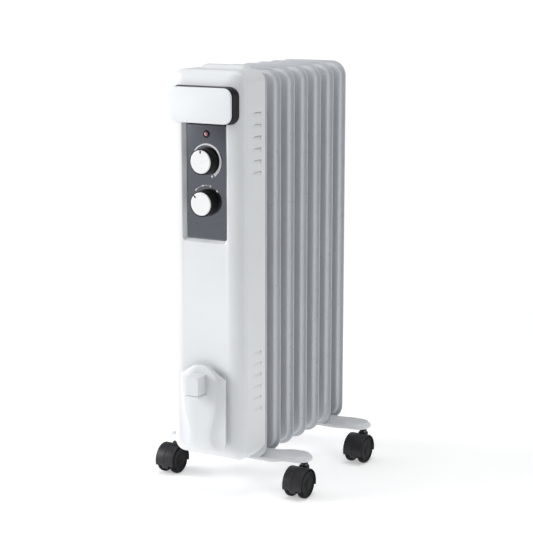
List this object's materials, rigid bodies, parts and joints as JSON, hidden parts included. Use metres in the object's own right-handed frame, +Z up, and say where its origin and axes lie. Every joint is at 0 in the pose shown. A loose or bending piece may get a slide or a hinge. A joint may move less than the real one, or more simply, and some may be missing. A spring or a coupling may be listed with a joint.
{
  "type": "oil filled radiator heater",
  "caption": "Upright oil filled radiator heater with a slim white control housing, dial controls, a recessed pull handle and twin-wheel casters.",
  "frame": {"origin": "middle of the footprint, on the floor", "axes": "+Z up, -Y towards the control side, +X to the right of the heater as it faces the user"},
  "size_m": [0.2568, 0.3532, 0.63],
  "materials": {
    "fin_paint": "semi-gloss white powder coat",
    "white_plastic": "smooth white moulded plastic",
    "black_plastic": "satin black moulded plastic",
    "wheel_plastic": "satin black nylon",
    "panel_plastic": "glossy metallic grey",
    "steel": "zinc plated",
    "brass": "plain",
    "lens": "translucent red",
    "cap_plastic": "bright white moulded plastic"
  },
  "bodies": {
    "heater": {"fin_1": "fin_paint", "fin_2": "fin_paint", "fin_3": "fin_paint", "fin_4": "fin_paint", "fin_5": "fin_paint", "fin_6": "fin_paint", "fin_7": "fin_paint", "oil_fill_plug": "brass", "heating_element": "steel", "front_shell": "white_plastic", "side_shell": "white_plastic", "heat_shield": "steel", "cord_gland": "black_plastic", "control_panel": "panel_plastic", "lamp_bezel": "black_plastic", "lamp_lens": "lens", "thermostat": "steel", "selector_switch": "black_plastic", "handle_grip": "black_plastic", "handle_plate": "white_plastic", "cord_holder": "white_plastic", "tip_over_switch": "black_plastic", "thermal_cutout": "steel", "terminal_block": "white_plastic", "front_foot": "fin_paint", "front_foot_clamp": "steel", "front_wing_nut_left": "steel", "caster_stem_front_left": "steel", "front_wing_nut_right": "steel", "caster_stem_front_right": "steel", "rear_foot": "fin_paint", "rear_foot_clamp": "steel", "rear_wing_nut_left": "steel", "caster_stem_rear_left": "steel", "rear_wing_nut_right": "steel", "caster_stem_rear_right": "steel"},
    "thermostat_dial": {"thermostat_shaft": "steel", "thermostat_knob": "black_plastic", "thermostat_knob_cap": "cap_plastic"},
    "selector_dial": {"selector_shaft": "steel", "selector_knob": "black_plastic", "selector_knob_cap": "cap_plastic"},
    "caster_front_left": {"caster_hood_front_left": "black_plastic", "caster_axle_front_left": "steel"},
    "wheel_front_left_left": {"caster_wheel_front_left_left": "wheel_plastic"},
    "wheel_front_left_right": {"caster_wheel_front_left_right": "wheel_plastic"},
    "caster_front_right": {"caster_hood_front_right": "black_plastic", "caster_axle_front_right": "steel"},
    "wheel_front_right_left": {"caster_wheel_front_right_left": "wheel_plastic"},
    "wheel_front_right_right": {"caster_wheel_front_right_right": "wheel_plastic"},
    "caster_rear_left": {"caster_hood_rear_left": "black_plastic", "caster_axle_rear_left": "steel"},
    "wheel_rear_left_left": {"caster_wheel_rear_left_left": "wheel_plastic"},
    "wheel_rear_left_right": {"caster_wheel_rear_left_right": "wheel_plastic"},
    "caster_rear_right": {"caster_hood_rear_right": "black_plastic", "caster_axle_rear_right": "steel"},
    "wheel_rear_right_left": {"caster_wheel_rear_right_left": "wheel_plastic"},
    "wheel_rear_right_right": {"caster_wheel_rear_right_right": "wheel_plastic"}
  },
  "joints": [
    {"name": "thermostat_turn", "type": "hinge", "parent": "heater", "child": "thermostat_dial", "pos_m": [0, -0.14505, 0.4976], "axis": [0, 1, 0], "range_deg": [-55, 150]},
    {"name": "selector_turn", "type": "hinge", "parent": "heater", "child": "selector_dial", "pos_m": [0, -0.14505, 0.4381], "axis": [0, 1, 0], "range_deg": [0, 90]},
    {"name": "caster_front_left_swivel", "type": "hinge", "parent": "heater", "child": "caster_front_left", "pos_m": [-0.1124, -0.04755, 0.046], "axis": [0, 0, 1], "continuous": true},
    {"name": "wheel_front_left_left_spin", "type": "hinge", "parent": "caster_front_left", "child": "wheel_front_left_left", "pos_m": [-0.12315, -0.06275, 0.0213], "axis": [1, 0, 0], "continuous": true},
    {"name": "wheel_front_left_right_spin", "type": "hinge", "parent": "caster_front_left", "child": "wheel_front_left_right", "pos_m": [-0.10165, -0.06275, 0.0213], "axis": [1, 0, 0], "continuous": true},
    {"name": "caster_front_right_swivel", "type": "hinge", "parent": "heater", "child": "caster_front_right", "pos_m": [0.1124, -0.04755, 0.046], "axis": [0, 0, 1], "continuous": true},
    {"name": "wheel_front_right_left_spin", "type": "hinge", "parent": "caster_front_right", "child": "wheel_front_right_left", "pos_m": [0.10165, -0.06275, 0.0213], "axis": [1, 0, 0], "continuous": true},
    {"name": "wheel_front_right_right_spin", "type": "hinge", "parent": "caster_front_right", "child": "wheel_front_right_right", "pos_m": [0.12315, -0.06275, 0.0213], "axis": [1, 0, 0], "continuous": true},
    {"name": "caster_rear_left_swivel", "type": "hinge", "parent": "heater", "child": "caster_rear_left", "pos_m": [-0.1124, 0.14345, 0.046], "axis": [0, 0, 1], "continuous": true},
    {"name": "wheel_rear_left_left_spin", "type": "hinge", "parent": "caster_rear_left", "child": "wheel_rear_left_left", "pos_m": [-0.12315, 0.12825, 0.0213], "axis": [1, 0, 0], "continuous": true},
    {"name": "wheel_rear_left_right_spin", "type": "hinge", "parent": "caster_rear_left", "child": "wheel_rear_left_right", "pos_m": [-0.10165, 0.12825, 0.0213], "axis": [1, 0, 0], "continuous": true},
    {"name": "caster_rear_right_swivel", "type": "hinge", "parent": "heater", "child": "caster_rear_right", "pos_m": [0.1124, 0.14345, 0.046], "axis": [0, 0, 1], "continuous": true},
    {"name": "wheel_rear_right_left_spin", "type": "hinge", "parent": "caster_rear_right", "child": "wheel_rear_right_left", "pos_m": [0.10165, 0.12825, 0.0213], "axis": [1, 0, 0], "continuous": true},
    {"name": "wheel_rear_right_right_spin", "type": "hinge", "parent": "caster_rear_right", "child": "wheel_rear_right_right", "pos_m": [0.12315, 0.12825, 0.0213], "axis": [1, 0, 0], "continuous": true}
  ]
}
